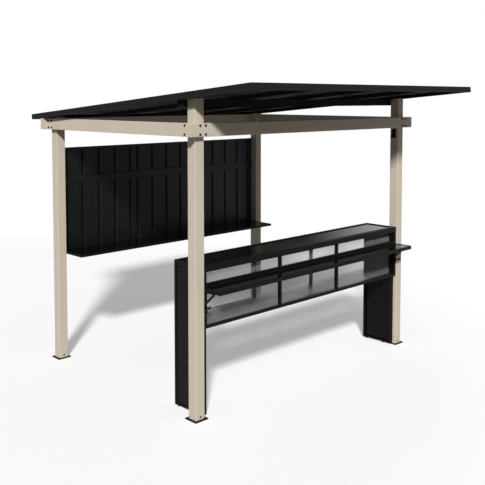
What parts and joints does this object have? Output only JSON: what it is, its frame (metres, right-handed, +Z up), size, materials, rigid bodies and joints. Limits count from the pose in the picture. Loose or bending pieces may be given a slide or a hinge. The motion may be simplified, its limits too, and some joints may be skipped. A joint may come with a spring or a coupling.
{
  "type": "garden gazebo with bar counter",
  "caption": "Lean-to roof on square posts, open at both sides, with a mesh-fronted bar counter and ledge at the front and a privacy panel with a shelf at the back.",
  "frame": {"origin": "on the ground, midway across the roof's overall width and depth", "axes": "+Z up, the bar counter and the roof's upper edge face -Y, +X to the right as seen from the front"},
  "size_m": [2.95, 2.9934, 2.612],
  "materials": {
    "tan_paint": "satin powder coat",
    "roof_black": "matte powder coat",
    "panel_charcoal": "satin powder coat",
    "counter_black": "satin powder coat",
    "top_gloss_black": "gloss powder coat",
    "plate_black": "satin powder coat",
    "mesh_steel": "dull expanded metal",
    "hardware_black": "satin",
    "foot_plastic": "matte"
  },
  "bodies": {
    "root": {"post_front_left": "tan_paint", "post_front_right": "tan_paint", "post_back_left": "tan_paint", "post_back_right": "tan_paint", "base_plate_front_left": "plate_black", "base_plate_front_right": "plate_black", "base_plate_back_left": "plate_black", "base_plate_back_right": "plate_black", "beam_front": "tan_paint", "beam_back": "tan_paint", "beam_left": "tan_paint", "beam_right": "tan_paint", "fascia_front": "roof_black", "fascia_back": "roof_black", "fascia_left": "roof_black", "fascia_right": "roof_black", "rafter_left": "roof_black", "rafter_middle": "roof_black", "rafter_right": "roof_black", "roof_support_beam": "roof_black", "roof_sheet_1": "roof_black", "roof_sheet_2": "roof_black", "roof_sheet_3": "roof_black", "roof_sheet_4": "roof_black", "back_panel_left": "panel_charcoal", "back_panel_middle": "panel_charcoal", "back_panel_right": "panel_charcoal", "back_panel_top_rail": "panel_charcoal", "back_panel_middle_rail": "panel_charcoal", "back_shelf": "top_gloss_black", "counter_end_left": "counter_black", "counter_end_right": "counter_black", "counter_feet": "foot_plastic", "counter_top": "top_gloss_black", "counter_bottom": "top_gloss_black", "counter_front_top_rail": "counter_black", "counter_front_middle_rail": "counter_black", "counter_front_bottom_rail": "counter_black", "counter_front_stiles": "counter_black", "counter_back_top_rail": "counter_black", "counter_back_stiles": "counter_black", "counter_mesh": "mesh_steel", "bar_ledge": "top_gloss_black", "ledge_brackets": "hardware_black", "post_hooks": "hardware_black"}
  },
  "joints": []
}
